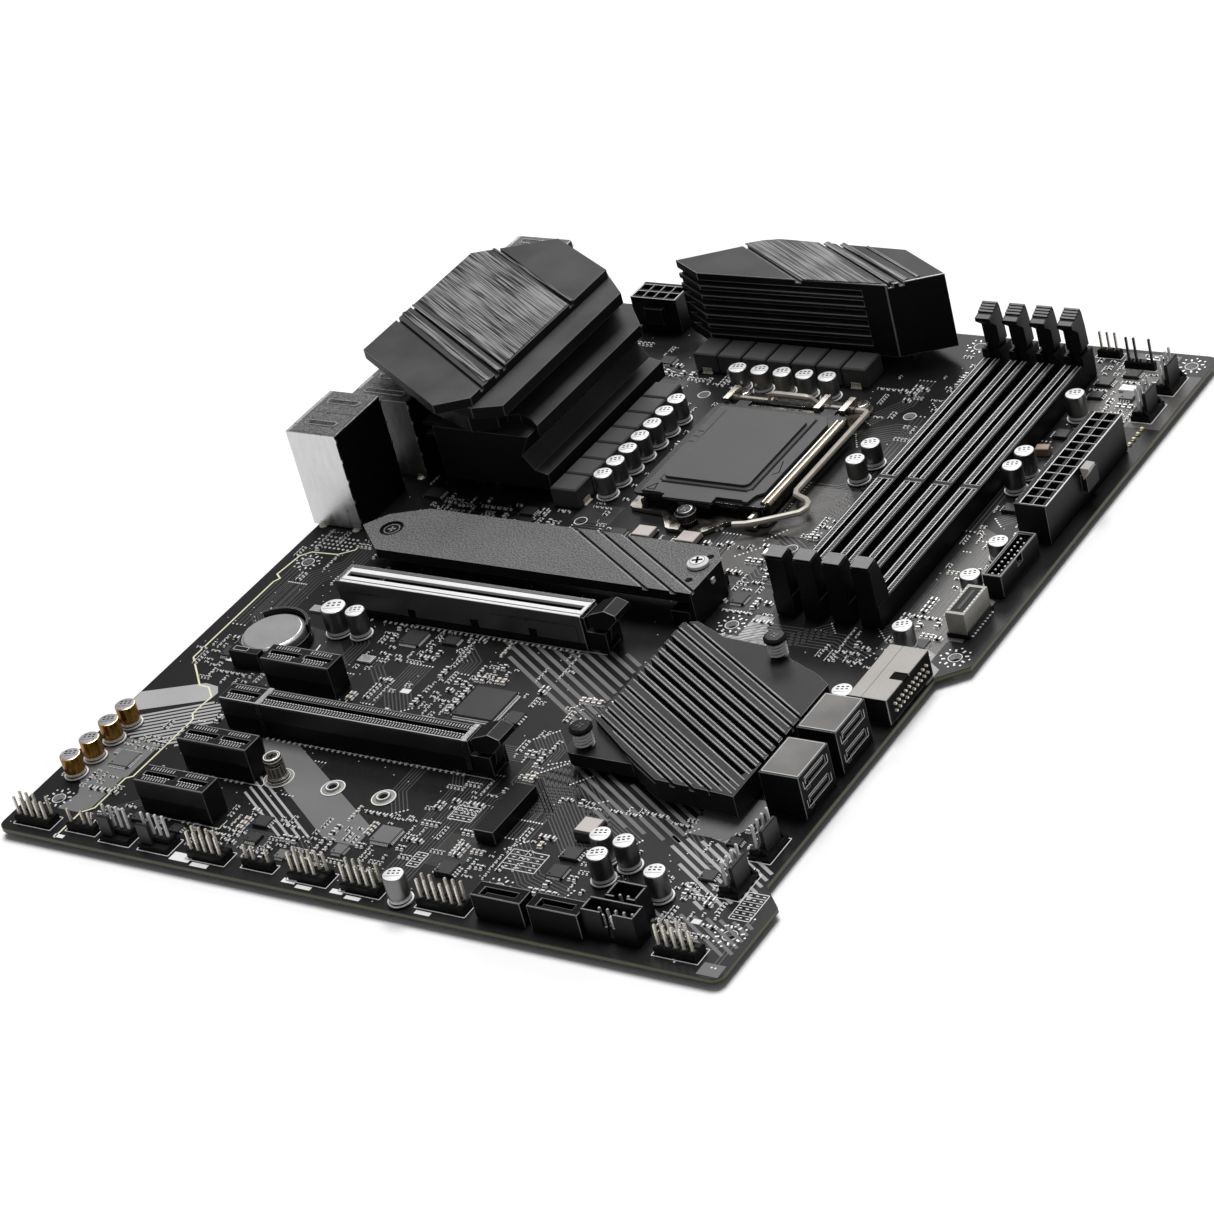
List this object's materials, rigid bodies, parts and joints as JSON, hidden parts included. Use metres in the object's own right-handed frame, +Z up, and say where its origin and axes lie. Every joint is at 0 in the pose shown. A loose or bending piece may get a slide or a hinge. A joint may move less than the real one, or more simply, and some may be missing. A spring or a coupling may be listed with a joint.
{
  "type": "motherboard",
  "caption": "ATX computer motherboard with processor socket, memory and expansion slots, finned heatsinks, power and drive connectors and rear port stacks.",
  "frame": {"origin": "centre of the footprint, rear port stacks included, in the plane of the screw heads and pins that the board lies on", "axes": "+X from the rear port edge towards the power connector edge, +Y towards the edge with the processor power socket, +Z up from the component side"},
  "size_m": [0.2454, 0.3048, 0.0436],
  "materials": {
    "laminate": "matte black solder mask with grey printed stripes",
    "black_plastic": "matte moulded",
    "grey_plastic": "matte moulded grey",
    "cover_plastic": "satin moulded dark grey",
    "heatsink_aluminium": "black anodised, fine sandblast with brushed panels",
    "steel": "bright nickel-plated",
    "connector_shell": "tin-plated sheet, faintly brushed",
    "gilt_metal": "gold-plated, bright",
    "bright_aluminium": "bright can, satin top",
    "component_ceramic": "fired ceramic with tinned ends",
    "chip_epoxy": "moulded epoxy",
    "print": "printed ink"
  },
  "bodies": {
    "board": {"atx_power_connector": "black_plastic", "battery_holder": "black_plastic", "chipset_heatsink": "heatsink_aluminium", "chipset_screw_left": "steel", "chipset_screw_right": "steel", "chipset_spring_left": "steel", "chipset_spring_right": "steel", "cmos_battery": "steel", "cpu_power_connector": "black_plastic", "cpu_socket_backplate": "steel", "cpu_socket_frame": "steel", "cpu_socket_housing": "black_plastic", "dimm_slot_1": "black_plastic", "dimm_slot_2": "black_plastic", "dimm_slot_3": "black_plastic", "dimm_slot_4": "black_plastic", "heatsink_screw_io_1": "steel", "heatsink_screw_io_2": "steel", "heatsink_screw_top_1": "steel", "heatsink_screw_top_2": "steel", "io_audio_jacks": "connector_shell", "io_lan_usb_stack": "connector_shell", "io_ps2_usb_stack": "connector_shell", "io_usb_stack": "connector_shell", "io_video_stack": "connector_shell", "m2_connector_lower": "black_plastic", "m2_connector_upper": "black_plastic", "m2_heatsink": "heatsink_aluminium", "m2_heatsink_screw_left": "heatsink_aluminium", "m2_heatsink_screw_right": "steel", "m2_standoff": "gilt_metal", "pcb": "laminate", "pcie_x16_armour": "steel", "pcie_x16_slot_lower": "black_plastic", "pcie_x16_slot_upper": "black_plastic", "pcie_x1_slot_1": "black_plastic", "pcie_x1_slot_2": "black_plastic", "pcie_x1_slot_3": "black_plastic", "sata_port_5": "black_plastic", "sata_port_6": "black_plastic", "sata_stack_1": "black_plastic", "sata_stack_2": "black_plastic", "socket_rear_screw_left": "steel", "socket_rear_screw_right": "steel", "socket_shoulder_screw": "steel", "usb3_header_angled": "grey_plastic", "usb3_header_upright": "black_plastic", "usb_c_header": "steel", "vrm_heatsink_io": "heatsink_aluminium", "vrm_heatsink_top": "heatsink_aluminium"},
    "load_plate": {"socket_load_plate": "steel"},
    "load_lever": {"socket_load_lever": "steel"},
    "cover": {"socket_cover": "cover_plastic"},
    "latch_dimm_1": {"dimm_latch_1": "black_plastic"},
    "latch_dimm_2": {"dimm_latch_2": "black_plastic"},
    "latch_dimm_3": {"dimm_latch_3": "black_plastic"},
    "latch_dimm_4": {"dimm_latch_4": "black_plastic"},
    "latch_pcie_upper": {"pcie_latch_upper": "black_plastic"},
    "latch_pcie_lower": {"pcie_latch_lower": "black_plastic"}
  },
  "joints": [
    {"name": "load_lever_hinge", "type": "hinge", "parent": "board", "child": "load_lever", "pos_m": [0.00383, 0.0979, 0.0072], "axis": [-1, 0, 0], "range_deg": [0, 115]},
    {"name": "load_plate_hinge", "type": "hinge", "parent": "board", "child": "load_plate", "pos_m": [0.00383, 0.0941, 0.009], "axis": [-1, 0, 0], "range_deg": [0, 102]},
    {"name": "cover_lift", "type": "slide", "parent": "load_plate", "child": "cover", "axis": [0, 0, 1], "range_m": [0, 0.01]},
    {"name": "dimm_latch_1_hinge", "type": "hinge", "parent": "board", "child": "latch_dimm_1", "pos_m": [0.05823, 0.1332, 0.0071], "axis": [-1, 0, 0], "range_deg": [0, 24]},
    {"name": "dimm_latch_2_hinge", "type": "hinge", "parent": "board", "child": "latch_dimm_2", "pos_m": [0.06753, 0.1332, 0.0071], "axis": [-1, 0, 0], "range_deg": [0, 24]},
    {"name": "dimm_latch_3_hinge", "type": "hinge", "parent": "board", "child": "latch_dimm_3", "pos_m": [0.07683, 0.1332, 0.0071], "axis": [-1, 0, 0], "range_deg": [0, 24]},
    {"name": "dimm_latch_4_hinge", "type": "hinge", "parent": "board", "child": "latch_dimm_4", "pos_m": [0.08613, 0.1332, 0.0071], "axis": [-1, 0, 0], "range_deg": [0, 24]},
    {"name": "pcie_latch_upper_hinge", "type": "hinge", "parent": "board", "child": "latch_pcie_upper", "pos_m": [0.01333, -0.0289, 0.0068], "axis": [0, 1, 0], "range_deg": [0, 18], "stiffness_Nm_per_rad": 0.02},
    {"name": "pcie_latch_lower_hinge", "type": "hinge", "parent": "board", "child": "latch_pcie_lower", "pos_m": [0.01333, -0.0899, 0.0068], "axis": [0, 1, 0], "range_deg": [0, 18], "stiffness_Nm_per_rad": 0.02}
  ],
  "couplings": [
    {"joint": "load_plate_hinge", "follows": "load_lever_hinge", "ratio": 0.87}
  ]
}
